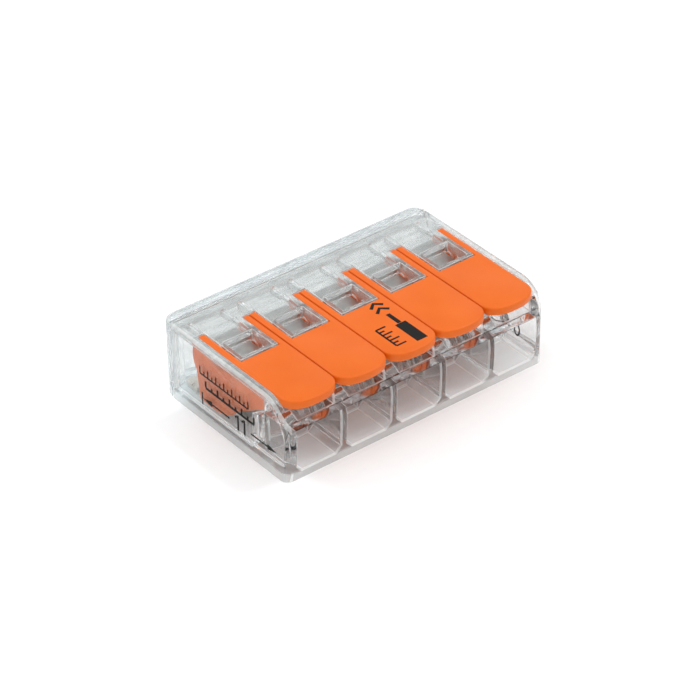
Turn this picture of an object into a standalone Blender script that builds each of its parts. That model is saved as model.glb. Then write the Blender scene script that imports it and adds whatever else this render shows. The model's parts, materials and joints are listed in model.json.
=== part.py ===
"""Five-pole lever wire connector for 0.2 to 4 mm2 conductors.

Frame: origin at the middle of the base, +X along the row of poles, -Y towards the wire
entries, +Z up.  Every lever is closed in the rest pose.  Lengths are in metres.
"""
import math

import bmesh
import bpy
from mathutils import Matrix, Vector

MM = 0.001

# ---------------------------------------------------------------- driving dimensions
POLES = 5
PITCH = 5.7 * MM                 # distance between neighbouring poles
WIDTH = 30.0 * MM
DEPTH = 18.8 * MM
HEIGHT = 8.4 * MM
GAP = 0.1 * MM                   # moulded clearance between neighbouring pieces
OVERRUN = 0.6 * MM               # how far a cutter reaches past what it cuts

FRONT = -DEPTH / 2
REAR = DEPTH / 2
BROW_Z = 4.4 * MM                # height at which the front starts to curve back
BROW_DEPTH = 3.25 * MM           # how far back that curve reaches at the roof
SEAM_Y = 8.1 * MM                # where the housing ends and the rear cover begins
FLOOR_TOP = 0.95 * MM
ROOF_UNDER = 7.55 * MM
CHAMBER_HALF = 14.3 * MM         # inner face of the end walls

# Lever pivot, the same for every pole
PIVOT_Y = 2.45 * MM
PIVOT_Z = 6.3 * MM
LEVER_OPEN = math.radians(90)
LEVER_TOP = 8.35 * MM
LEVER_HALF = 2.8 * MM            # half the lever's width
CHEEK_INNER = 2.16 * MM          # inner face of the lever's two cheeks
PLATE = 0.85 * MM                # thickness of the lever's handle plate
ARM_REAR = 4.52 * MM             # rear end of the lever's two arms
CHEEK_FRONT = -5.4 * MM          # front edge of the cheeks
CHEEK_NOSE_Z = 6.0 * MM          # lower corner of that front edge
LOBE_R = 4.75 * MM               # round lower edge of the cheeks, about the pivot
LOBE_START = math.radians(-142)  # direction in which that round edge begins
HEEL_Y = 4.42 * MM               # rear end of the flat under the cheeks
HEEL_SWEEP = math.hypot(HEEL_Y - PIVOT_Y, LOBE_R)
DISC_R = math.hypot(ARM_REAR - PIVOT_Y, LEVER_TOP - PIVOT_Z)
PIN_R = 0.70 * MM
SOCKET_R = 0.78 * MM

# Test slot block between the two arms of a lever
BLOCK_HALF = 2.08 * MM
BLOCK_FRONT = -0.82 * MM
BLOCK_UNDER = 7.15 * MM
WELL_HALF = 1.62 * MM
WELL_FRONT = -0.4 * MM
WELL_REAR = 2.45 * MM
LUG_R = 1.2 * MM

# Clamping spring
STRIP = 0.3 * MM                 # thickness of the spring steel
SPRING_HALF = 1.5 * MM
LOOP_Y = -2.3 * MM
LOOP_Z = 5.65 * MM
LOOP_R = 1.25 * MM
LOOP_SPLIT = math.radians(229)   # where the bending zone ends on the fixed side
LEG_START = math.radians(236)    # where the straight clamping leg leaves the loop
LEG_LENGTH = 4.85 * MM
CLAMP_OPEN = math.radians(30)
TAB_Y = 0.3 * MM                 # centre of the tabs that ride in the lever's cam grooves
TAB_Z = 3.0 * MM
TAB_R = 0.25 * MM
TAB_END = 2.42 * MM
GROOVE_DEPTH = 0.34 * MM
GROOVE_HALF = 0.36 * MM

# Wire entries
ENTRY_HALF = 2.475 * MM
ENTRY_FLOOR = 1.1 * MM
ENTRY_ROOF = 5.5 * MM
ENTRY_END = -5.2 * MM            # end of the straight part of an entry
THROAT_Y = -4.4 * MM
THROAT_HALF = 1.5 * MM
THROAT_FLOOR = 1.75 * MM
THROAT_ROOF = 4.2 * MM
INNER_FRONT = -3.7 * MM          # rear face of the entry block
DECK_END = -5.6 * MM             # rear edge of the deck under the lever tips
DECK_Z = 6.35 * MM
POST_Z = 7.35 * MM

# Busbar
BAR_THICK = 0.6 * MM
BAR_UNDER = FLOOR_TOP + GAP
BAR_TOP = BAR_UNDER + BAR_THICK


def pole_positions():
    """X of each pole, from left to right."""
    return [(index - (POLES - 1) / 2) * PITCH for index in range(POLES)]


def pole_boundaries():
    """X of each line between two neighbouring poles."""
    return [(index - (POLES - 2) / 2) * PITCH for index in range(POLES - 1)]


# ---------------------------------------------------------------- outlines
def arc(centre, radius, start, end, steps):
    """Points on a circle, or on an ellipse when radius is a pair."""
    across, up = radius if isinstance(radius, tuple) else (radius, radius)
    angles = [start + (end - start) * step / steps for step in range(steps + 1)]
    return [(centre[0] + across * math.cos(a), centre[1] + up * math.sin(a)) for a in angles]


def ribbon(path, half):
    """The outline of a flat strip of the given half thickness that follows a path."""
    left = []
    right = []
    for index, point in enumerate(path):
        before = Vector(path[max(index - 1, 0)])
        after = Vector(path[min(index + 1, len(path) - 1)])
        along = (after - before).normalized()
        side = Vector((-along.y, along.x)) * half
        left.append(tuple(Vector(point) + side))
        right.append(tuple(Vector(point) - side))
    return left + right[::-1]


def turned(point, centre, angle):
    """A point turned about a centre, in the Y-Z plane, from +Y towards +Z."""
    offset = Vector(point) - Vector(centre)
    c, s = math.cos(angle), math.sin(angle)
    return (centre[0] + c * offset.x - s * offset.y, centre[1] + s * offset.x + c * offset.y)


# ---------------------------------------------------------------- solids
def add_object(name, mesh, collection):
    obj = bpy.data.objects.new(name, mesh)
    collection.objects.link(obj)
    if collection is cutters:
        obj.hide_render = True
        obj.display_type = "WIRE"
    return obj


def clean_mesh(mesh, transform):
    """Weld an extruded curve's loose caps and move the mesh into world space."""
    work = bmesh.new()
    work.from_mesh(mesh)
    bmesh.ops.remove_doubles(work, verts=work.verts, dist=0.0001 * MM)
    bmesh.ops.transform(work, matrix=transform, verts=work.verts)
    bmesh.ops.recalc_face_normals(work, faces=work.faces)
    work.to_mesh(mesh)
    work.free()


def extruded(name, outline, low, high, rotation, collection):
    """A flat outline given thickness along its own Z, from low to high, then rotated."""
    curve = bpy.data.curves.new(name, "CURVE")
    curve.dimensions = "2D"
    curve.fill_mode = "BOTH"
    curve.extrude = (high - low) / 2
    spline = curve.splines.new("POLY")
    spline.points.add(len(outline) - 1)
    for point, (across, up) in zip(spline.points, outline):
        point.co = (across, up, 0, 1)
    spline.use_cyclic_u = True
    source = bpy.data.objects.new(name, curve)
    bpy.context.scene.collection.objects.link(source)
    depsgraph = bpy.context.evaluated_depsgraph_get()
    mesh = bpy.data.meshes.new_from_object(source.evaluated_get(depsgraph))
    bpy.data.objects.remove(source)
    bpy.data.curves.remove(curve)
    mesh.name = name
    shift = Matrix.Translation((0, 0, (low + high) / 2))
    clean_mesh(mesh, rotation @ shift)
    return add_object(name, mesh, collection)


def side_plate(name, outline, x_low, x_high, collection):
    """A Y-Z outline extruded along X."""
    rotation = Matrix(((0, 0, 1, 0), (1, 0, 0, 0), (0, 1, 0, 0), (0, 0, 0, 1)))
    return extruded(name, outline, x_low, x_high, rotation, collection)


def front_plate(name, outline, y_low, y_high, collection):
    """An X-Z outline extruded along Y."""
    rotation = Matrix.Rotation(math.radians(90), 4, "X")
    return extruded(name, outline, -y_high, -y_low, rotation, collection)


def plan_plate(name, outline, z_low, z_high, collection):
    """An X-Y outline extruded along Z."""
    return extruded(name, outline, z_low, z_high, Matrix.Identity(4), collection)


def block(name, low, high, collection):
    """A box between two corners."""
    size = Vector(high) - Vector(low)
    middle = (Vector(high) + Vector(low)) / 2
    mesh = bpy.data.meshes.new(name)
    work = bmesh.new()
    bmesh.ops.create_cube(work, size=1, matrix=Matrix.Translation(middle) @ Matrix.Diagonal((*size, 1)))
    work.to_mesh(mesh)
    work.free()
    return add_object(name, mesh, collection)


def cross_pin(name, radius, x_low, x_high, y, z, collection, segments=24):
    """A round pin along X."""
    mesh = bpy.data.meshes.new(name)
    work = bmesh.new()
    place = Matrix.Translation(((x_low + x_high) / 2, y, z)) @ Matrix.Rotation(math.radians(90), 4, "Y")
    bmesh.ops.create_cone(work, cap_ends=True, segments=segments, radius1=radius, radius2=radius,
                          depth=x_high - x_low, matrix=place)
    work.to_mesh(mesh)
    work.free()
    return add_object(name, mesh, collection)


def tapered(name, near, far, y_near, y_far, collection):
    """A box whose near and far ends, each (half width, bottom, top), differ in size."""
    obj = block(name, (-1, y_near, -1), (1, y_far, 1), collection)
    for vertex in obj.data.vertices:
        half, bottom, top = near if vertex.co.y < (y_near + y_far) / 2 else far
        vertex.co.x = math.copysign(half, vertex.co.x)
        vertex.co.z = top if vertex.co.z > 0 else bottom
    return obj


def repeated(obj, places):
    """Copy an object's body to each X place, all in the one object."""
    work = bmesh.new()
    for place in places:
        copy = obj.data.copy()
        copy.transform(Matrix.Translation((place, 0, 0)))
        work.from_mesh(copy)
        bpy.data.meshes.remove(copy)
    work.to_mesh(obj.data)
    work.free()
    return obj


def combine(target, tool, operation):
    """Cut, join or intersect a target with a tool, as a live Boolean modifier."""
    modifier = target.modifiers.new(tool.name, "BOOLEAN")
    modifier.operation = operation
    modifier.solver = "EXACT"
    modifier.object = tool


def cut(target, *tools):
    for tool in tools:
        combine(target, tool, "DIFFERENCE")


def join(target, *tools):
    for tool in tools:
        combine(target, tool, "UNION")


def bake(obj):
    """Turn an object's modifiers into its own mesh."""
    depsgraph = bpy.context.evaluated_depsgraph_get()
    mesh = bpy.data.meshes.new_from_object(obj.evaluated_get(depsgraph))
    obj.modifiers.clear()
    obj.data = mesh
    return obj


def drop(*tools):
    """Remove tools whose cut or union has been baked."""
    for tool in tools:
        bpy.data.objects.remove(tool)


def place_copies(source, stem, origin_y, origin_z, material, parent):
    """One object per pole sharing a mesh whose origin is on the piece's own axis."""
    source.data.transform(Matrix.Translation((0, -origin_y, -origin_z)))
    source.data.materials.clear()
    source.data.materials.append(material)
    for number, x in enumerate(pole_positions(), start=1):
        copy = add_object(f"{stem}_{number}", source.data, parts)
        copy.location = (x, origin_y, origin_z)
        copy.parent = parent
    bpy.data.objects.remove(source)


def finish(obj, material, parent):
    obj.data.materials.clear()
    obj.data.materials.append(material)
    obj.parent = parent


# ---------------------------------------------------------------- materials
def make_material(name, colour, roughness, metallic=0.0, transmission=0.0):
    material = bpy.data.materials.new(name)
    material.use_nodes = True
    shader = material.node_tree.nodes["Principled BSDF"]
    shader.inputs["Base Color"].default_value = (*colour, 1)
    shader.inputs["Roughness"].default_value = roughness
    shader.inputs["Metallic"].default_value = metallic
    shader.inputs["Transmission Weight"].default_value = transmission
    return material


# ---------------------------------------------------------------- housing
def body_outline(rear):
    """Side view of the closed connector, from its base to the given rear end."""
    toe = 0.35 * MM
    lean = 0.2 * MM
    lower = arc((FRONT + lean + toe, toe), toe, math.radians(270), math.radians(180), 4)
    upper = arc((FRONT + BROW_DEPTH, BROW_Z), (BROW_DEPTH, HEIGHT - BROW_Z),
                math.radians(180), math.radians(90), 16)
    return [(rear, 0)] + lower + upper + [(rear, HEIGHT)]


def plan_outline():
    """Plan view of the whole connector, with round front and rear corners."""
    front_r = 1.2 * MM
    rear_r = 1.3 * MM
    half = WIDTH / 2
    quarter = math.radians(90)
    right_front = arc((half - front_r, FRONT + front_r), front_r, -quarter, 0, 6)
    right_rear = arc((half - rear_r, REAR - rear_r), rear_r, 0, quarter, 6)
    right = right_front + right_rear
    return right + [(-x, y) for x, y in reversed(right)]


def panel_outline():
    """The shallow panel sunk in each side, a rim's width inside the body's outline."""
    rim = 0.65 * MM
    rear = 7.3 * MM
    low_rear = 1.5 * MM
    low_front = 1.9 * MM
    upper = arc((FRONT + BROW_DEPTH, BROW_Z), (BROW_DEPTH - rim, HEIGHT - BROW_Z - rim),
                math.radians(180), math.radians(90), 12)
    return [(rear, low_rear), (FRONT + rim, low_front)] + upper + [(rear, HEIGHT - rim)]


def cheek_underline(y):
    """Height of the straight lower front edge of a closed lever's cheek."""
    nose = (CHEEK_FRONT, CHEEK_NOSE_Z)
    lobe = turned((PIVOT_Y + LOBE_R, PIVOT_Z), (PIVOT_Y, PIVOT_Z), LOBE_START)
    return nose[1] + (lobe[1] - nose[1]) * (y - nose[0]) / (lobe[0] - nose[0])


def chamber_outline():
    """Lever bay and spring chamber in side view, open at the top and at the rear."""
    roof_r = DISC_R + 1.4 * GAP
    start = math.asin((HEIGHT - PIVOT_Z) / roof_r)
    end = math.asin((ROOF_UNDER - PIVOT_Z) / roof_r)
    roof_front = arc((PIVOT_Y, PIVOT_Z), roof_r, end, start, 6)
    above = HEIGHT + OVERRUN
    drop_z = 2 * GAP
    return [
        (DECK_END, above),
        (DECK_END, cheek_underline(DECK_END) - drop_z),
        (INNER_FRONT, cheek_underline(INNER_FRONT) - drop_z),
        (INNER_FRONT, FLOOR_TOP),
        (SEAM_Y + OVERRUN, FLOOR_TOP),
        (SEAM_Y + OVERRUN, ROOF_UNDER),
    ] + roof_front + [(roof_front[-1][0], above)]


def entry_cutters():
    """The five wire entries: a straight mouth, a funnel and a throat."""
    chamfer = 0.6 * MM
    mouth_outline = [
        (-ENTRY_HALF + chamfer, ENTRY_FLOOR),
        (ENTRY_HALF - chamfer, ENTRY_FLOOR),
        (ENTRY_HALF, ENTRY_FLOOR + chamfer),
        (ENTRY_HALF, ENTRY_ROOF),
        (-ENTRY_HALF, ENTRY_ROOF),
        (-ENTRY_HALF, ENTRY_FLOOR + chamfer),
    ]
    mouth = front_plate("entry_mouths", mouth_outline, FRONT - OVERRUN, ENTRY_END, cutters)
    funnel = tapered(
        "entry_funnels",
        (ENTRY_HALF - chamfer, ENTRY_FLOOR + GAP, ENTRY_ROOF - GAP),
        (THROAT_HALF, THROAT_FLOOR, THROAT_ROOF),
        ENTRY_END - GAP, THROAT_Y, cutters)
    throat = block(
        "entry_throats",
        (-THROAT_HALF, THROAT_Y - GAP, THROAT_FLOOR),
        (THROAT_HALF, INNER_FRONT + OVERRUN, THROAT_ROOF), cutters)
    return [repeated(tool, pole_positions()) for tool in (mouth, funnel, throat)]


def finger_pockets():
    """The hollows under the lever tips, between posts that are wider at the foot."""
    top_half = 2.3 * MM
    foot_half = 1.95 * MM
    above = HEIGHT + OVERRUN
    outline = [(-foot_half, DECK_Z), (foot_half, DECK_Z), (top_half, POST_Z),
               (top_half, above), (-top_half, above), (-top_half, POST_Z)]
    pocket = front_plate("finger_pockets", outline, FRONT - OVERRUN, DECK_END + OVERRUN, cutters)
    return repeated(pocket, pole_positions())


def slot_blocks():
    """The five test slot blocks with their wells and the lugs that carry the lever pins."""
    well_wall = 0.45 * MM
    frame = block(
        "slot_blocks",
        (-BLOCK_HALF, BLOCK_FRONT, BLOCK_UNDER),
        (BLOCK_HALF, PIVOT_Y + DISC_R + OVERRUN, HEIGHT), cutters)
    well = block(
        "slot_wells",
        (-WELL_HALF, WELL_FRONT, BLOCK_UNDER - OVERRUN),
        (WELL_HALF, WELL_REAR, HEIGHT + OVERRUN), cutters)
    hollow = block(
        "slot_hollows",
        (-WELL_HALF, WELL_REAR + well_wall, BLOCK_UNDER - OVERRUN),
        (WELL_HALF, PIVOT_Y + DISC_R + 2 * OVERRUN, ROOF_UNDER), cutters)
    bottom = arc((PIVOT_Y, PIVOT_Z), LUG_R, math.radians(-180), 0, 12)
    lug_top = BLOCK_UNDER + GAP
    lug_outline = bottom + [(PIVOT_Y + LUG_R, lug_top), (PIVOT_Y - LUG_R, lug_top)]
    tools = [well, hollow]
    for side in (-1, 1):
        low, high = sorted((side * WELL_HALF, side * BLOCK_HALF))
        lug = side_plate("pivot_lug", lug_outline, low, high, cutters)
        join(frame, lug)
        tools.append(lug)
    socket = cross_pin("pivot_socket", SOCKET_R, -BLOCK_HALF - OVERRUN, BLOCK_HALF + OVERRUN,
                       PIVOT_Y, PIVOT_Z, cutters)
    cut(frame, well, hollow, socket)
    bake(frame)
    drop(socket, *tools)
    return repeated(frame, pole_positions())


def pole_fins():
    """Fins that part the conductors, behind the entry block and clear of the cheeks."""
    half = 0.35 * MM
    sweep = HEEL_SWEEP + 1.5 * GAP
    drop_z = 2 * GAP
    start = math.radians(-150)
    end = math.radians(-100)
    edge = arc((PIVOT_Y, PIVOT_Z), sweep, start, end, 8)
    root = INNER_FRONT - OVERRUN
    bottom = FLOOR_TOP - OVERRUN
    outline = [(root, cheek_underline(root) - drop_z)] + edge + [(edge[-1][0], bottom), (root, bottom)]
    return repeated(side_plate("pole_fins", outline, -half, half, cutters), pole_boundaries())


def roof_ribs():
    """Two stiffening ribs under the roof behind every slot block."""
    front = PIVOT_Y + DISC_R + OVERRUN / 2
    foot = 5.9 * MM
    rear = 7.3 * MM
    under = 6.9 * MM
    root = ROOF_UNDER + OVERRUN
    outline = [(front, root), (foot, under), (rear, under), (rear, root)]
    left = side_plate("roof_ribs_left", outline, -BLOCK_HALF, -WELL_HALF, cutters)
    right = side_plate("roof_ribs_right", outline, WELL_HALF, BLOCK_HALF, cutters)
    return [repeated(rib, pole_positions()) for rib in (left, right)]


def build_housing(material, parent):
    half = WIDTH / 2
    housing = side_plate("housing", body_outline(SEAM_Y), -half, half, parts)
    plan = plan_plate("plan_shape", plan_outline(), -OVERRUN, HEIGHT + OVERRUN, cutters)
    combine(housing, plan, "INTERSECT")
    sink = 0.3 * MM
    for side in (-1, 1):
        low, high = sorted((side * (half - sink), side * (half + OVERRUN)))
        cut(housing, side_plate("side_panel", panel_outline(), low, high, cutters))
    cut(housing, side_plate("chamber", chamber_outline(), -CHAMBER_HALF, CHAMBER_HALF, cutters))
    cut(housing, block("tip_bay", (-CHAMBER_HALF, FRONT - OVERRUN, POST_Z),
                       (CHAMBER_HALF, DECK_END + OVERRUN, HEIGHT + OVERRUN), cutters))
    cut(housing, finger_pockets(), *entry_cutters())
    join(housing, slot_blocks(), pole_fins(), *roof_ribs())
    finish(housing, material, parent)


def build_rear_cover(material, parent):
    """The cover that closes the rear, with a rim that plugs into the housing."""
    half = WIDTH / 2
    outline = [(SEAM_Y + GAP, 0), (REAR, 0), (REAR, HEIGHT), (SEAM_Y + GAP, HEIGHT)]
    cover = side_plate("rear_cover", outline, -half, half, parts)
    plan = plan_plate("cover_plan", plan_outline(), -OVERRUN, HEIGHT + OVERRUN, cutters)
    combine(cover, plan, "INTERSECT")
    rim_front = 7.55 * MM
    rim_wall = 0.6 * MM
    back_wall = 0.8 * MM
    rim_half = CHAMBER_HALF - GAP
    rim = block("cover_rim", (-rim_half, rim_front, FLOOR_TOP + GAP),
                (rim_half, SEAM_Y + 3 * GAP, ROOF_UNDER - GAP), cutters)
    hollow = block("cover_hollow",
                   (-rim_half + rim_wall, rim_front - OVERRUN, FLOOR_TOP + GAP + rim_wall),
                   (rim_half - rim_wall, REAR - back_wall, ROOF_UNDER - GAP - rim_wall), cutters)
    join(cover, rim)
    cut(cover, hollow)
    finish(cover, material, parent)


# ---------------------------------------------------------------- levers
def cheek_outline():
    """Side view of a closed lever: handle plate, arms, pivot disc and cam lobe."""
    plate_under = LEVER_TOP - PLATE
    tip_thinner = 0.05 * MM
    pivot = (PIVOT_Y, PIVOT_Z)
    lobe = arc(pivot, LOBE_R, LOBE_START, math.radians(-90), 10)
    disc_top = math.asin((LEVER_TOP - PIVOT_Z) / DISC_R)
    disc = arc(pivot, DISC_R, math.radians(-35), disc_top, 10)
    return [(FRONT, LEVER_TOP), (FRONT, plate_under + tip_thinner), (CHEEK_FRONT, plate_under),
            (CHEEK_FRONT, CHEEK_NOSE_Z)] + lobe + [(HEEL_Y, PIVOT_Z - LOBE_R)] + disc


def lever_plan():
    """Plan view of a lever, with its rounded tip."""
    tip_y = FRONT + 1.9 * MM
    squareness = 2.4
    steps = 24
    tip = []
    for step in range(steps + 1):
        angle = math.pi * step / steps
        across = math.copysign(abs(math.cos(angle)) ** (2 / squareness), math.cos(angle))
        ahead = math.sin(angle) ** (2 / squareness)
        tip.append((LEVER_HALF * across, tip_y - (tip_y - FRONT) * ahead))
    rear = PIVOT_Y + DISC_R + OVERRUN
    return tip + [(-LEVER_HALF, rear), (LEVER_HALF, rear)]


def cam_path():
    """Where the spring's tab lies in the closed lever's frame as the lever opens."""
    steps = 12
    path = []
    for step in range(steps + 1):
        share = step / steps
        tab = turned((TAB_Y, TAB_Z), (LOOP_Y, LOOP_Z), CLAMP_OPEN * share)
        path.append(turned(tab, (PIVOT_Y, PIVOT_Z), LEVER_OPEN * share))
    return path


def groove_outline():
    """The cam groove: the tab's path widened, with half-round ends."""
    path = cam_path()
    first = Vector(path[0])
    last = Vector(path[-1])
    lead_in = (first - Vector(path[1])).normalized() * GROOVE_HALF
    lead_out = (last - Vector(path[-2])).normalized() * GROOVE_HALF
    return ribbon([tuple(first + lead_in)] + path + [tuple(last + lead_out)], GROOVE_HALF)


def build_levers(material, parent):
    lever = side_plate("lever", cheek_outline(), -LEVER_HALF, LEVER_HALF, cutters)
    plan = plan_plate("lever_plan", lever_plan(), 0, HEIGHT + OVERRUN, cutters)
    combine(lever, plan, "INTERSECT")
    under = block("lever_under",
                  (-CHEEK_INNER, CHEEK_FRONT - OVERRUN, 0),
                  (CHEEK_INNER, REAR, LEVER_TOP - PLATE), cutters)
    window = cross_pin("lever_window", math.hypot(BLOCK_FRONT - PIVOT_Y, HEIGHT - PIVOT_Z) + GAP,
                       -CHEEK_INNER, CHEEK_INNER, PIVOT_Y, PIVOT_Z, cutters, segments=64)
    cut(lever, under, window)
    tools = [plan, under, window]
    for side in (-1, 1):
        low, high = sorted((side * (WELL_HALF + GAP), side * (CHEEK_INNER + GAP)))
        pin = cross_pin("lever_pin", PIN_R, low, high, PIVOT_Y, PIVOT_Z, cutters)
        join(lever, pin)
        low, high = sorted((side * (CHEEK_INNER - OVERRUN), side * (CHEEK_INNER + GROOVE_DEPTH)))
        groove = side_plate("cam_groove", groove_outline(), low, high, cutters)
        tools += [pin, groove]
    for tool in tools:
        if tool.name.startswith("cam_groove"):
            cut(lever, tool)
    bake(lever)
    drop(*tools)
    place_copies(lever, "lever", PIVOT_Y, PIVOT_Z, material, parent)


# ---------------------------------------------------------------- metal parts
def build_busbar(material, parent):
    """One flat strip with a tongue under every conductor."""
    strip_front = 5.7 * MM
    strip_rear = 7.4 * MM
    end_gap = 0.6 * MM
    strip_half = CHAMBER_HALF - end_gap
    tongue_half = 1.5 * MM
    tongue_front = -0.9 * MM
    outline = [(strip_half, strip_rear), (-strip_half, strip_rear), (-strip_half, strip_front)]
    for x in pole_positions():
        outline += [(x - tongue_half, strip_front), (x - tongue_half, tongue_front),
                    (x + tongue_half, tongue_front), (x + tongue_half, strip_front)]
    outline.append((strip_half, strip_front))
    busbar = plan_plate("busbar", outline, BAR_UNDER, BAR_TOP, parts)
    finish(busbar, material, parent)


def build_springs(material, parent):
    """The fixed side of each clamping spring: rear leg, top leg and loop."""
    bend = 0.5 * MM
    rear_y = 5.0 * MM
    top_z = LOOP_Z + LOOP_R
    corner = arc((rear_y - bend, top_z - bend), bend, 0, math.radians(90), 5)
    loop = arc((LOOP_Y, LOOP_Z), LOOP_R, math.radians(90), LOOP_SPLIT, 14)
    path = [(rear_y, BAR_TOP + GAP)] + corner + loop
    spring = side_plate("spring", ribbon(path, STRIP / 2), -SPRING_HALF, SPRING_HALF, cutters)
    place_copies(spring, "spring", LOOP_Y, LOOP_Z, material, parent)


def build_clamp_legs(material, parent):
    """The moving leg of each spring, with the two tabs that the lever's cams carry."""
    half = SPRING_HALF - 0.2 * MM
    wing = 0.25 * MM
    wing_start = 0.55
    wing_end = 0.85
    start = turned((LOOP_Y + LOOP_R, LOOP_Z), (LOOP_Y, LOOP_Z), LEG_START)
    down = LEG_START + math.radians(90)
    along = Vector((math.cos(down), math.sin(down)))
    tip = tuple(Vector(start) + along * LEG_LENGTH)
    leg = side_plate("clamp_leg", ribbon([start, tip], STRIP / 2), -half - wing, half + wing, cutters)
    foot = Vector(start) + along * (LEG_LENGTH * wing_start)
    ahead = Vector(start) + along * (LEG_LENGTH * wing_end)
    crown = arc((TAB_Y, TAB_Z), TAB_R + GAP, math.radians(30), math.radians(150), 6)
    wing_outline = crown + [tuple(foot), tuple(ahead)]
    tools = []
    for side in (-1, 1):
        low, high = sorted((side * half, side * (half + wing)))
        plate = side_plate("wing", wing_outline, low, high, cutters)
        low, high = sorted((side * (half + wing / 2), side * TAB_END))
        tab = cross_pin("tab", TAB_R, low, high, TAB_Y, TAB_Z, cutters, segments=16)
        join(leg, plate, tab)
        tools += [plate, tab]
    bake(leg)
    drop(*tools)
    place_copies(leg, "clamp_leg", LOOP_Y, LOOP_Z, material, parent)


# ---------------------------------------------------------------- assembly
for old in list(bpy.data.objects):
    bpy.data.objects.remove(old)

parts = bpy.data.collections.new("lever_wire_connector")
cutters = bpy.data.collections.new("cutters")
bpy.context.scene.collection.children.link(parts)
bpy.context.scene.collection.children.link(cutters)

connector = bpy.data.objects.new("connector_origin", None)
parts.objects.link(connector)

clear = make_material("clear_polycarbonate", (0.86, 0.88, 0.88), 0.05, transmission=1.0)
orange = make_material("orange_lever_plastic", (0.90, 0.20, 0.03), 0.35)
tin = make_material("tinned_copper", (0.72, 0.71, 0.68), 0.35, metallic=1.0)
steel = make_material("spring_steel", (0.55, 0.56, 0.58), 0.30, metallic=1.0)

build_housing(clear, connector)
build_rear_cover(clear, connector)
build_levers(orange, connector)
build_busbar(tin, connector)
build_springs(steel, connector)
build_clamp_legs(steel, connector)
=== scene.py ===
import json
import math

import bmesh
import bpy
from mathutils import Matrix, Vector


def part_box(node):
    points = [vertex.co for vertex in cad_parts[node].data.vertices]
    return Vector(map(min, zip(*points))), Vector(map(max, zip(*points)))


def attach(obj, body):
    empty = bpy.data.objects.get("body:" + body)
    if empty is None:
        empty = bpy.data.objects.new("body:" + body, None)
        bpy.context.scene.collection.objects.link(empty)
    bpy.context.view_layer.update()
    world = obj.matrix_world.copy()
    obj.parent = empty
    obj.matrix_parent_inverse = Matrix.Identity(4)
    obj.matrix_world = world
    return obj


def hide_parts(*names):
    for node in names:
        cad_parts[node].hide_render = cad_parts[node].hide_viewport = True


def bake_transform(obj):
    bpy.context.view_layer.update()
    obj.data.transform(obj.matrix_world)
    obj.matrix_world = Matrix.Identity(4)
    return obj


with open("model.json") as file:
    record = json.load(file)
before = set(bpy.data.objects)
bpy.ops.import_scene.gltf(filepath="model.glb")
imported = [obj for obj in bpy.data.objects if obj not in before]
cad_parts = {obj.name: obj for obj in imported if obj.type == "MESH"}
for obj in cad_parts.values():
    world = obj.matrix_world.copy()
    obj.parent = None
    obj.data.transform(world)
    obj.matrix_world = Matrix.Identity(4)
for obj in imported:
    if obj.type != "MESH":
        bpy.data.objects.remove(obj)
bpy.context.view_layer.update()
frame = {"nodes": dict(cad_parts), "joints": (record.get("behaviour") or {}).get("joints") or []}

MM = 0.001

nodes = frame["nodes"]
LEVERS = sorted(name for name in nodes if name.startswith("lever_"))
SPRINGS = sorted(name for name in nodes if name.startswith("spring_"))

# Places read from the frame
HOUSING_LOW, HOUSING_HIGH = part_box("housing")
LEVER_LOW, LEVER_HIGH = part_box(LEVERS[0])
LEVER_TOP = LEVER_HIGH.z

# Shape refinement
ROUNDING = "rounded_edges"       # name of the modifier that rounds a piece's edges
WELD = 0.001 * MM                # vertices closer than this are one
FLAT = math.radians(1)           # faces within this angle merge into one
SHARP = math.radians(32)         # edges sharper than this get rounded
MOST_CORNERS = 4                 # faces with more corners are split before rounding
ALONG = 0.8                      # cosine above which two edges run the same way
ROOM_SHARE = 0.4                 # share of the room beside an edge that its rounding may take
METAL_RADIUS = 0.03 * MM         # rounding of the edges of strip metal

# Milky parts of the clear plastic: heights where each one starts and where it is full
ROOF_ZONE = (HOUSING_HIGH.z - 1.1 * MM, HOUSING_HIGH.z - 0.9 * MM)
BASE_ZONE = (1.3 * MM, 0.9 * MM)

# Prints
SIDE_SINK = 0.3 * MM             # depth of the panel sunk in each side wall
INK_PROUD = 0.008 * MM           # how far a print stands out of its face
INK_SUNK = 0.02 * MM             # how far it goes into the face

# Node trees
NOISE_RANGE = (0.3, 0.7)         # values between which nearly all noise lies
MIX_SHARE, MIX_LOW, MIX_HIGH = 0, 6, 7      # a colour Mix node's input sockets
MIX_RESULT = 2                   # and its output socket


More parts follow.
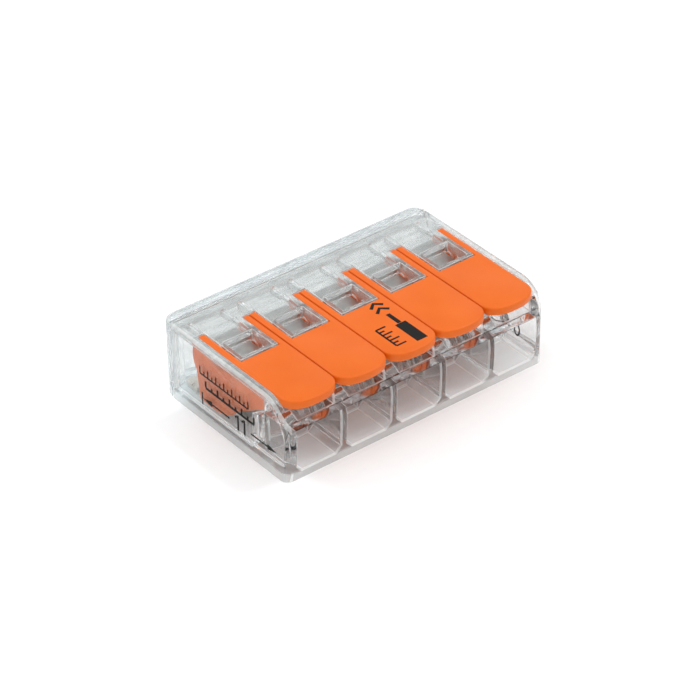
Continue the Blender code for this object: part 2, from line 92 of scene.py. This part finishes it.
# ---------------------------------------------------------------- node trees
class Tree:
    """A material's node tree with short ways to add and link nodes."""

    def __init__(self, name):
        self.material = bpy.data.materials.new(name)
        self.material.use_nodes = True
        self.nodes = self.material.node_tree.nodes
        self.links = self.material.node_tree.links
        self.shader = self.nodes["Principled BSDF"]
        self.output = self.nodes["Material Output"]

    def add(self, kind, settings=None, **inputs):
        """A node of a kind; settings are its properties, inputs its sockets' values or links."""
        node = self.nodes.new(kind)
        for key, value in (settings or {}).items():
            setattr(node, key, value)
        for key, value in inputs.items():
            self.put(node, key.replace("_", " "), value)
        return node

    def put(self, node, key, value):
        """Give a socket, named or numbered, a value, or link another node's output to it."""
        socket = node.inputs[key]
        if isinstance(value, bpy.types.NodeSocket):
            self.links.new(value, socket)
        elif socket.type == "RGBA":
            socket.default_value = (*value, 1)
        else:
            socket.default_value = value

    def coordinates(self, scale):
        """Object coordinates stretched by a scale for each axis, per metre."""
        place = self.add("ShaderNodeTexCoord")
        stretch = self.add("ShaderNodeMapping", Vector=place.outputs["Object"], Scale=scale)
        return stretch.outputs["Vector"]

    def noise(self, scale, detail=4.0, roughness=0.5):
        """Noise over the object, with a scale for each axis, per metre."""
        made = self.add("ShaderNodeTexNoise", Vector=self.coordinates(scale), Scale=1.0,
                        Detail=detail, Roughness=roughness)
        return made.outputs["Fac"]

    def spread(self, value, low, high):
        """A noise value stretched to run from low to high."""
        start, end = NOISE_RANGE
        made = self.add("ShaderNodeMapRange", Value=value, From_Min=start, From_Max=end,
                        To_Min=low, To_Max=high)
        return made.outputs["Result"]

    def mix(self, share, low, high):
        """Two colours mixed by a share from 0 to 1; each may be a link or a colour."""
        made = self.add("ShaderNodeMix", {"data_type": "RGBA"})
        self.put(made, MIX_SHARE, share)
        self.put(made, MIX_LOW, low)
        self.put(made, MIX_HIGH, high)
        return made.outputs[MIX_RESULT]

    def colours(self, value, low, high):
        """Two colours mixed by a noise value."""
        return self.mix(self.spread(value, 0, 1), low, high)

    def zone(self, start, end):
        """Share that goes from 0 at one height of the object to 1 at another."""
        place = self.add("ShaderNodeTexCoord")
        split = self.add("ShaderNodeSeparateXYZ", Vector=place.outputs["Object"])
        made = self.add("ShaderNodeMapRange", Value=split.outputs["Z"], From_Min=start, From_Max=end)
        return made.outputs["Result"]

    def maths(self, operation, *values):
        """The result of a sum on links and numbers."""
        made = self.add("ShaderNodeMath", {"operation": operation})
        for place, value in enumerate(values):
            self.put(made, place, value)
        return made.outputs["Value"]

    def bump(self, height, depth):
        """Surface relief of a real depth in metres."""
        made = self.add("ShaderNodeBump", Height=height, Distance=depth, Strength=1.0)
        return made.outputs["Normal"]


def tint_clear(tree, flow, in_roof, in_base):
    """Colour of the clear plastic: nearly white walls, streaky grey roof, plain base."""
    clear_low = (0.74, 0.76, 0.76)
    clear_high = (0.89, 0.90, 0.90)
    roof_low = (0.50, 0.52, 0.515)
    roof_high = (0.80, 0.82, 0.815)
    base_colour = (0.88, 0.89, 0.885)
    streaks = tree.noise((420, 2600, 2600), detail=5, roughness=0.65)
    walls = tree.colours(flow, clear_low, clear_high)
    roof = tree.colours(streaks, roof_low, roof_high)
    tree.put(tree.shader, "Base Color", tree.mix(in_base, tree.mix(in_roof, walls, roof), base_colour))


def cloud_clear(tree, flow, in_roof, in_base, painted_highlight):
    """Roughness and cover of the clear plastic, which lets less light through where it is milky and where
    a share is turned milky white to paint highlights.
    """
    milky_roughness = 0.16
    milky_loss = 0.16
    base_loss = 0.22
    milky = tree.maths("MAXIMUM", in_roof, in_base)
    polish = tree.spread(flow, 0.02, 0.08)
    tree.put(tree.shader, "Roughness", tree.maths("MULTIPLY_ADD", milky, milky_roughness, polish))
    # the last share taken away here is a painted highlight, which shows as milky white
    passed = tree.maths("MULTIPLY_ADD", milky, -milky_loss, 1.0 - painted_highlight)
    tree.put(tree.shader, "Transmission Weight", tree.maths("MULTIPLY_ADD", in_base, -base_loss, passed))


def pass_light(tree, tint):
    """Let shadow and diffuse rays straight through, so that light reaches the pieces inside."""
    rays = tree.add("ShaderNodeLightPath")
    passing = tree.maths("MAXIMUM", rays.outputs["Is Shadow Ray"], rays.outputs["Is Diffuse Ray"])
    through = tree.add("ShaderNodeBsdfTransparent", Color=tint)
    blend = tree.add("ShaderNodeMixShader", Fac=passing)
    tree.links.new(tree.shader.outputs[0], blend.inputs[1])
    tree.links.new(through.outputs[0], blend.inputs[2])
    tree.links.new(blend.outputs[0], tree.output.inputs["Surface"])


def clear_polycarbonate(name, painted_highlight):
    """Clear polycarbonate: polished walls with faint flow lines, a slightly milky roof and base.

    The second argument is a painted highlight: the share of the surface turned from clear to milky white,
    so that rounded edges look lit white.
    """
    tree = Tree(name)
    flow = tree.noise((180, 1500, 1500), detail=3)
    ripple = tree.noise((500, 500, 500), detail=2)
    in_roof = tree.zone(*ROOF_ZONE)
    in_base = tree.zone(*BASE_ZONE)
    tint_clear(tree, flow, in_roof, in_base)
    cloud_clear(tree, flow, in_roof, in_base, painted_highlight)
    tree.put(tree.shader, "IOR", 1.28)      # under the real 1.58, so the walls mirror less white
    tree.put(tree.shader, "Specular IOR Level", 0.2)
    tree.put(tree.shader, "Normal", tree.bump(ripple, 0.02 * MM))
    pass_light(tree, (0.955, 0.98, 0.99))
    return tree.material


def orange_plastic():
    """Satin orange moulded plastic with a fine spark-eroded texture."""
    tree = Tree("orange_lever_plastic")
    cloud = tree.noise((260, 260, 260), detail=2)
    grain = tree.noise((14000, 14000, 14000), detail=2)
    shader = tree.shader
    tree.put(shader, "Base Color", tree.colours(cloud, (0.70, 0.124, 0.0045), (0.74, 0.137, 0.006)))
    tree.put(shader, "Roughness", tree.spread(grain, 0.30, 0.46))
    tree.put(shader, "IOR", 1.5)
    tree.put(shader, "Specular IOR Level", 0.25)
    tree.put(shader, "Subsurface Weight", 0.15)
    tree.put(shader, "Subsurface Radius", (1.0, 0.35, 0.1))
    tree.put(shader, "Subsurface Scale", 0.3 * MM)
    tree.put(shader, "Normal", tree.bump(grain, 0.002 * MM))
    return tree.material


def spring_steel():
    """Rolled stainless strip with fine lines along its length."""
    tree = Tree("spring_steel")
    lines = tree.noise((9000, 500, 500), detail=4)
    smudge = tree.noise((700, 700, 700), detail=2)
    shader = tree.shader
    tree.put(shader, "Base Color", tree.colours(smudge, (0.50, 0.50, 0.50), (0.64, 0.63, 0.61)))
    tree.put(shader, "Metallic", 1.0)
    tree.put(shader, "Roughness", tree.spread(lines, 0.28, 0.46))
    tree.put(shader, "Normal", tree.bump(lines, 0.003 * MM))
    return tree.material


def tinned_copper():
    """Bright tin plating over copper, slightly mottled, with a warm cast."""
    tree = Tree("tinned_copper")
    mottle = tree.noise((1800, 1800, 1800), detail=5, roughness=0.65)
    shader = tree.shader
    tree.put(shader, "Base Color", tree.colours(mottle, (0.60, 0.53, 0.47), (0.76, 0.73, 0.69)))
    tree.put(shader, "Metallic", 1.0)
    tree.put(shader, "Roughness", tree.spread(mottle, 0.24, 0.42))
    tree.put(shader, "Normal", tree.bump(mottle, 0.004 * MM))
    return tree.material


def black_ink():
    """Pad-printed black ink, a little uneven in its cover."""
    tree = Tree("black_ink")
    cover = tree.noise((6000, 6000, 6000), detail=4)
    shader = tree.shader
    tree.put(shader, "Base Color", tree.colours(cover, (0.003, 0.003, 0.003), (0.014, 0.013, 0.012)))
    tree.put(shader, "Roughness", tree.spread(cover, 0.45, 0.7))
    tree.put(shader, "Specular IOR Level", 0.15)
    tree.put(shader, "Normal", tree.bump(cover, 0.002 * MM))
    return tree.material


def floor_white():
    """Matt white paper sweep."""
    tree = Tree("floor_white")
    fibre = tree.noise((900, 900, 900), detail=3)
    shader = tree.shader
    tree.put(shader, "Base Color", tree.colours(fibre, (0.94, 0.955, 0.96), (0.955, 0.97, 0.975)))
    tree.put(shader, "Roughness", 0.9)
    tree.put(shader, "Specular IOR Level", 0.1)
    return tree.material


# ---------------------------------------------------------------- mesh work
def whole_faced(source):
    """A working mesh with a CAD node's shape: flat faces are merged, then large ones split anew.

    A face that runs round a hole would otherwise be filled across it after its edges are rounded.
    """
    work = bmesh.new()
    work.from_mesh(source.data)
    bmesh.ops.remove_doubles(work, verts=work.verts, dist=WELD)
    bmesh.ops.dissolve_limit(work, angle_limit=FLAT, verts=work.verts, edges=work.edges)
    large = [face for face in work.faces if len(face.verts) > MOST_CORNERS]
    bmesh.ops.triangulate(work, faces=large)
    return work


def heading(edge, vertex):
    """Direction in which an edge leaves one of its ends."""
    return (edge.other_vert(vertex).co - vertex.co).normalized()


def room_beside(edge):
    """Length of the shortest edge that leaves either end of this one sideways."""
    shortest = math.inf
    for vertex in edge.verts:
        for other in vertex.link_edges:
            if other is not edge and abs(heading(other, vertex).dot(heading(edge, vertex))) < ALONG:
                shortest = min(shortest, other.calc_length())
    return shortest


def smooth_chains(edges):
    """Groups of edges that run on into each other without a corner."""
    waiting = dict.fromkeys(edges)      # a dict keeps the mesh's order, so each run gives the same groups
    while waiting:
        first = next(iter(waiting))
        waiting.pop(first)
        chain = [first]
        ends = [(first, vertex) for vertex in first.verts]
        while ends:
            edge, vertex = ends.pop()
            for other in vertex.link_edges:
                if other in waiting and heading(other, vertex).dot(heading(edge, vertex)) < -ALONG:
                    waiting.pop(other)
                    chain.append(other)
                    ends.append((other, other.other_vert(vertex)))
        yield chain


def new_piece(name, work):
    """A new object from a working mesh, which is used up."""
    mesh = bpy.data.meshes.new(name)
    work.to_mesh(mesh)
    work.free()
    piece = bpy.data.objects.new(name, mesh)
    bpy.context.scene.collection.objects.link(piece)
    return piece


def rounded_piece(name, source, radius_of, steps=2):
    """A new object shaped like a CAD node, each chain of sharp edges rounded alike."""
    work = whole_faced(source)
    weights = work.edges.layers.float.new("bevel_weight_edge")
    radii = {}
    sharp = [edge for edge in work.edges if edge.calc_face_angle(0) > SHARP]
    for chain in smooth_chains(sharp):
        wanted = max(radius_of(edge) for edge in chain)
        room = min(room_beside(edge) for edge in chain)
        radii.update(dict.fromkeys(chain, min(wanted, ROOM_SHARE * room)))
    widest = max(radii.values())
    for edge, radius in radii.items():
        edge[weights] = radius / widest
    for face in work.faces:
        face.smooth = True
    piece = new_piece(name, work)
    bevel = piece.modifiers.new(ROUNDING, "BEVEL")
    bevel.limit_method = "WEIGHT"
    bevel.width = widest
    bevel.segments = steps
    bevel.use_clamp_overlap = False
    bevel.harden_normals = True
    bevel.loop_slide = False
    return piece


def paint_edge_highlights(piece, material):
    """Give a piece's rounded edges a material of their own, milky white, which paints highlights on them.
    """
    piece.data.materials.append(material)
    piece.modifiers[ROUNDING].material = len(piece.data.materials) - 1


def show(piece, material, slot, *stands_for):
    """Give a piece its material and hide the CAD nodes it stands for."""
    piece.data.materials.clear()
    piece.data.materials.append(material)
    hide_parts(*stands_for)


# ---------------------------------------------------------------- pieces
def build_housing(material, highlight_material):
    """The clear shell, its outer edges and the mouths of its entries rounded more than the rest."""
    outer_radius = 0.3 * MM
    mouth_radius = 0.15 * MM
    inner_radius = 0.06 * MM
    mouth_depth = 0.6 * MM
    side = HOUSING_HIGH.x - WELD
    mouth = HOUSING_LOW.y + mouth_depth

    def radius_of(edge):
        if all(abs(vertex.co.x) > side for vertex in edge.verts):
            return outer_radius
        if all(vertex.co.y < mouth for vertex in edge.verts):
            return mouth_radius
        return inner_radius

    piece = rounded_piece("clear_housing", nodes["housing"], radius_of, steps=3)
    show(piece, material, "clear_housing", "housing")
    # rounded edges get the milky white material: painted highlights
    paint_edge_highlights(piece, highlight_material)
    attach(piece, "root")


def build_rear_cover(material, highlight_material):
    """The clear rear cover, rounded most round its outer face."""
    outer_radius = 0.35 * MM
    inner_radius = 0.08 * MM
    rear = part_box("rear_cover")[1].y - WELD

    def radius_of(edge):
        outer = all(vertex.co.y > rear for vertex in edge.verts)
        return outer_radius if outer else inner_radius

    piece = rounded_piece("clear_rear_cover", nodes["rear_cover"], radius_of, steps=3)
    show(piece, material, "clear_housing", "rear_cover")
    # rounded edges get the milky white material: painted highlights
    paint_edge_highlights(piece, highlight_material)
    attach(piece, "root")


def build_lever(name, material):
    """One orange lever, rounded most round the top of its tip."""
    tip_radius = 0.24 * MM
    edge_radius = 0.07 * MM
    tip_length = 3 * MM
    tip_end = LEVER_LOW.y + tip_length

    def radius_of(edge):
        on_top = all(vertex.co.z > LEVER_TOP - WELD for vertex in edge.verts)
        at_tip = all(vertex.co.y < tip_end for vertex in edge.verts)
        return tip_radius if on_top and at_tip else edge_radius

    piece = rounded_piece("orange_" + name, nodes[name], radius_of, steps=3)
    show(piece, material, "orange_lever", name)
    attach(piece, name)


def build_metal(name, node, material, slot, body):
    """One piece of strip metal with lightly broken edges."""
    piece = rounded_piece(name, nodes[node], lambda edge: METAL_RADIUS)
    show(piece, material, slot, node)
    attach(piece, body)


def build_spring_bend(name, clamp, material):
    """The stretch of spring strip that bends between its loop and its clamping leg."""
    thickness = 0.29 * MM        # a little less than the strip's, so that its ends hide inside it
    half_width = 1.45 * MM
    loop_radius = 1.25 * MM      # of the middle of the strip
    start = math.radians(226)    # angles about the loop's middle, from +Y towards +Z
    end = math.radians(239)
    steps = 12
    centre = Vector(next(joint["pos_m"] for joint in frame["joints"] if joint["child"] == clamp))
    corners = ((-1, -1), (1, -1), (1, 1), (-1, 1))

    def outward(angle):
        return Vector((0, math.cos(angle), math.sin(angle)))

    work = bmesh.new()
    rings = []
    for step in range(steps + 1):
        angle = start + (end - start) * step / steps
        ring = []
        for side, depth in corners:
            aside = Vector((side * half_width, 0, 0))
            reach = loop_radius + depth * thickness / 2
            ring.append(work.verts.new(centre + outward(angle) * reach + aside))
        rings.append(ring)
    for low, high in zip(rings, rings[1:]):
        for index in range(len(corners)):
            work.faces.new((low[index - 1], low[index], high[index], high[index - 1]))
    work.faces.new(rings[0])
    work.faces.new(rings[-1][::-1])
    bmesh.ops.recalc_face_normals(work, faces=work.faces)
    piece = new_piece(name, work)
    piece.data.materials.append(material)
    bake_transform(piece)


# ---------------------------------------------------------------- prints
class Print:
    """Ink marks on a flat face, placed by how far they are along it and up it from a corner."""

    HEAD_LENGTH = 8              # length of an arrow's head, in widths of its line
    HEAD_SLIMNESS = 4.5          # length of the head over half its breadth
    SHORT_TICK = 0.55            # length of every second tick over that of the others
    ONE_FLAG = 0.22              # reach of the flag of a 1 over its height
    ZERO_REACH = 0.28            # half the breadth of a 0 over its height
    ZERO_STEPS = 24              # straight pieces in the outline of a 0

    def __init__(self, corner, along, up):
        axes = (Vector(along), Vector(up), Vector(along).cross(Vector(up)))
        self.place = Matrix.Translation(corner) @ Matrix(axes).transposed().to_4x4()
        self.work = bmesh.new()

    def layers(self, point):
        """The same point under and over the face."""
        heights = (-INK_SUNK, INK_PROUD)
        return [self.work.verts.new(self.place @ Vector((*point, height))) for height in heights]

    def area(self, *outline):
        """A filled outline, its corners given anticlockwise."""
        corners = [self.layers(point) for point in outline]
        self.work.faces.new([high for _, high in corners])
        self.work.faces.new([low for low, _ in reversed(corners)])
        for (low, high), (next_low, next_high) in zip(corners, corners[1:] + corners[:1]):
            self.work.faces.new((low, next_low, next_high, high))

    def bar(self, low, high):
        """A filled rectangle between two corners."""
        self.area(low, (high[0], low[1]), high, (low[0], high[1]))

    def line(self, path, width):
        """A stroke of even width along a path, which closes if it ends where it starts."""
        closed = path[0] == path[-1]
        points = [Vector(point) for point in (path[:-1] if closed else path)]
        rows = []
        for index, point in enumerate(points):
            before = points[index - 1] if closed or index else point
            after = points[(index + 1) % len(points)] if closed or index + 1 < len(points) else point
            along = (after - before).normalized() * width / 2
            side = Vector((-along.y, along.x))
            rows.append(self.layers(point - side) + self.layers(point + side)[::-1])
        pairs = list(zip(rows, rows[1:]))
        if closed:
            pairs.append((rows[-1], rows[0]))
        else:
            self.work.faces.new(rows[0][::-1])
            self.work.faces.new(rows[-1])
        for first, second in pairs:
            for index in range(len(first)):
                self.work.faces.new((first[index - 1], first[index], second[index], second[index - 1]))

    def arrow(self, tail, tip, width):
        """A line that ends in a filled head."""
        tail, tip = Vector(tail), Vector(tip)
        along = (tip - tail).normalized() * width * self.HEAD_LENGTH
        side = Vector((-along.y, along.x)) / self.HEAD_SLIMNESS
        self.line((tuple(tail), tuple(tip - along)), width)
        self.area(tip, tip - along + side, tip - along - side)

    def ticks(self, start, spaces, pitch, height, width):
        """A base line of some equal spaces with upright ticks between them, every second one shorter."""
        left, low = start
        self.line((start, (left + spaces * pitch, low)), width)
        for index in range(spaces + 1):
            along = left + index * pitch
            reach = height if index % 2 == 0 else height * self.SHORT_TICK
            self.line(((along, low), (along, low + reach)), width)

    def one(self, low, height, width):
        """The figure 1, standing on a point."""
        along, up = low
        flag = height * self.ONE_FLAG
        self.line(((along - flag, up + height - flag), (along, up + height), (along, up)), width)

    def zero(self, low, height, width):
        """The figure 0, standing on a point."""
        along, up = low
        ring = []
        for step in range(self.ZERO_STEPS):
            angle = math.tau * step / self.ZERO_STEPS
            ring.append((along + height * self.ZERO_REACH * math.cos(angle),
                         up + height * (1 + math.sin(angle)) / 2))
        self.line(ring + ring[:1], width)

    def finish(self, name, material, body):
        """Turn the marks into a piece that rides on a body."""
        bmesh.ops.recalc_face_normals(self.work, faces=self.work.faces)
        piece = new_piece(name, self.work)
        piece.data.materials.append(material)
        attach(piece, body)


def print_strip_gauge(material):
    """Left side: the 11 mm strip gauge under two plain scales."""
    pen = 0.17 * MM
    bold = 0.26 * MM
    gauge_start = 3.64 * MM                # where along Y the gauge starts, at its rear mark
    gauge_z = 2.38 * MM                    # height of its rear arrow
    gauge_low = gauge_z - 0.78 * MM        # foot of the rear mark and of the figures
    mark_high = gauge_z + 0.63 * MM
    front_z = gauge_z + 0.1 * MM           # height of its front arrow
    gauge_end = 11.1 * MM
    marks = Print(Vector((HOUSING_LOW.x + SIDE_SINK, gauge_start, 0)), (0, -1, 0), (0, 0, 1))
    marks.line(((0, gauge_low), (0, mark_high)), pen)
    marks.arrow((4.1 * MM, gauge_z), (0.1 * MM, gauge_z), pen)
    marks.arrow((7.3 * MM, front_z), (gauge_end, front_z), pen)
    for along in (5.4 * MM, 6.35 * MM):
        marks.one((along, gauge_low), height=1.8 * MM, width=bold)
    marks.ticks((-0.2 * MM, 5.0 * MM), spaces=12, pitch=0.6 * MM, height=0.8 * MM, width=pen)
    marks.ticks((0.6 * MM, 3.75 * MM), spaces=8, pitch=0.9 * MM, height=0.75 * MM, width=bold)
    marks.finish("printed_strip_gauge", material, "root")


def print_scale(material):
    """Right side: a plain scale from 0 by the wire entries to 10."""
    pen = 0.13 * MM
    bold = 0.17 * MM
    height = 1.2 * MM                      # of the figures
    scale_start = -6.1 * MM                # where along Y the 0 stands
    scale_z = 1.7 * MM                     # height of the figures' feet
    marks = Print(Vector((HOUSING_HIGH.x - SIDE_SINK, scale_start, scale_z)), (0, 1, 0), (0, 0, 1))
    marks.zero((0, 0), height, bold)
    marks.ticks((1.0 * MM, 0.3 * MM), spaces=10, pitch=1.0 * MM, height=0.7 * MM, width=pen)
    marks.one((11.7 * MM, 0), height, bold)
    marks.zero((12.4 * MM, 0), height, bold)
    marks.finish("printed_scale", material, "root")


def print_conductor(material):
    """Middle lever: a stripped conductor that goes in, over a short scale."""
    name = LEVERS[len(LEVERS) // 2]
    low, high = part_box(name)
    rear = -1.2 * MM                       # where along Y the print starts
    row = 1.15 * MM                        # how far the conductor lies to +X of the middle
    sheath = 0.6 * MM                      # half the breadth of its sheath
    wire = 0.22 * MM                       # half the breadth of its bare end
    chevron = 0.7 * MM                     # half the breadth of a chevron
    marks = Print(Vector(((low.x + high.x) / 2, rear, LEVER_TOP)), (0, -1, 0), (1, 0, 0))
    marks.bar((4.0 * MM, row - sheath), (7.2 * MM, row + sheath))
    marks.bar((2.2 * MM, row - wire), (3.95 * MM, row + wire))
    for tip in (0.1 * MM, 1.0 * MM):
        back = tip + 0.6 * MM
        marks.line(((back, row - chevron), (tip, row), (back, row + chevron)), 0.34 * MM)
    marks.ticks((3.6 * MM, -1.35 * MM), spaces=6, pitch=0.5 * MM, height=1.1 * MM, width=0.2 * MM)
    marks.finish("printed_conductor", material, name)


# ---------------------------------------------------------------- stage
def build_floor(material):
    """A pale floor just under the object."""
    half = 0.6
    gap = 0.01 * MM
    work = bmesh.new()
    bmesh.ops.create_grid(work, x_segments=1, y_segments=1, size=half)
    floor = new_piece("floor", work)
    floor.location.z = -gap
    floor.data.materials.append(material)


def build_world():
    """A pale surround, white overhead and a little darker towards the horizon."""
    white_from = 0.45            # height of a direction, from 0 at the horizon to 1 overhead
    low_colour = (0.85, 0.86, 0.87, 1)
    high_colour = (1, 1, 1, 1)
    strength = 0.90
    world = bpy.data.worlds.new("studio")
    bpy.context.scene.world = world
    world.use_nodes = True
    tree = world.node_tree
    place = tree.nodes.new("ShaderNodeTexCoord")
    split = tree.nodes.new("ShaderNodeSeparateXYZ")
    ramp = tree.nodes.new("ShaderNodeValToRGB")
    background = tree.nodes["Background"]
    tree.links.new(place.outputs["Generated"], split.inputs[0])
    tree.links.new(split.outputs["Z"], ramp.inputs[0])
    tree.links.new(ramp.outputs[0], background.inputs["Color"])
    horizon, overhead = ramp.color_ramp.elements
    horizon.position = 0.0
    horizon.color = low_colour
    overhead.position = white_from
    overhead.color = high_colour
    background.inputs["Strength"].default_value = strength


def add_light(name, place, size, power):
    """A square lamp that faces the frame's origin; its size is in metres, its power in watts."""
    light = bpy.data.lights.new(name, "AREA")
    light.shape = "SQUARE"
    light.size = size
    light.energy = power
    lamp = bpy.data.objects.new(name, light)
    lamp.location = place
    lamp.rotation_mode = "QUATERNION"
    lamp.rotation_quaternion = Vector(place).to_track_quat("Z", "Y")
    bpy.context.scene.collection.objects.link(lamp)


def build_lights():
    """A soft box overhead, and two small lamps across from the camera that give bright rims."""
    add_light("key", (-0.10, -0.05, 0.40), size=0.30, power=0.25)
    add_light("row_edges", (0.20, -0.06, 0.34), size=0.05, power=0.34)
    add_light("side_edges", (-0.10, 0.26, 0.29), size=0.05, power=0.24)


def build_camera():
    """A long lens at the front left corner, looking down at the levers.

    Its place was solved from the photo's view of the box's corners and the row of levers.
    """
    azimuth = math.radians(-37.82)
    elevation = math.radians(34.99)
    roll = math.radians(-0.87)
    distance = 292.0 * MM
    target = Vector((0, 0.13 * MM, 0))
    rightward = -0.41 * MM       # shifts of the camera that put the object where the photo has it
    upward = 2.45 * MM
    nearest = 10 * MM
    back = Vector((math.sin(azimuth) * math.cos(elevation),
                   -math.cos(azimuth) * math.cos(elevation), math.sin(elevation)))
    level = Vector((math.cos(azimuth), math.sin(azimuth), 0))
    right = Matrix.Rotation(roll, 3, back) @ level
    up = back.cross(right)
    camera = bpy.data.cameras.new("camera")
    camera.lens = 162.5
    camera.sensor_width = 36
    camera.clip_start = nearest
    viewer = bpy.data.objects.new("camera", camera)
    place = target + right * rightward + up * upward + back * distance
    viewer.matrix_world = Matrix.Translation(place) @ Matrix((right, up, back)).transposed().to_4x4()
    bpy.context.scene.collection.objects.link(viewer)
    bpy.context.scene.camera = viewer


def let_light_through():
    """Enough bounces for light to find its way out of many clear walls."""
    cycles = bpy.context.scene.cycles
    cycles.max_bounces = 32
    cycles.transmission_bounces = 32
    cycles.glossy_bounces = 12
    cycles.transparent_max_bounces = 64


# ---------------------------------------------------------------- assembly
clear = clear_polycarbonate("clear_polycarbonate", painted_highlight=0.0)
# a milky white copy of the clear plastic for rounded edges: painted highlights
clear_painted_highlights = clear_polycarbonate("clear_polycarbonate_painted_highlights", painted_highlight=0.4)
orange = orange_plastic()
steel = spring_steel()
tin = tinned_copper()
ink = black_ink()

build_housing(clear, clear_painted_highlights)
build_rear_cover(clear, clear_painted_highlights)
for name in LEVERS:
    build_lever(name, orange)
for name in SPRINGS:
    build_metal("steel_" + name, name, steel, "spring_steel", "root")
    leg = name.replace("spring", "clamp_leg")
    clamp = name.replace("spring", "clamp")
    build_metal("steel_" + leg, leg, steel, "spring_steel", clamp)
    build_spring_bend("steel_bend_" + name[-1], clamp, steel)
build_metal("tinned_busbar", "busbar", tin, "tinned_copper", "root")
print_strip_gauge(ink)
print_scale(ink)
print_conductor(ink)

build_floor(floor_white())
build_world()
build_lights()
build_camera()
let_light_through()
bpy.context.scene.view_settings.view_transform = "Standard"
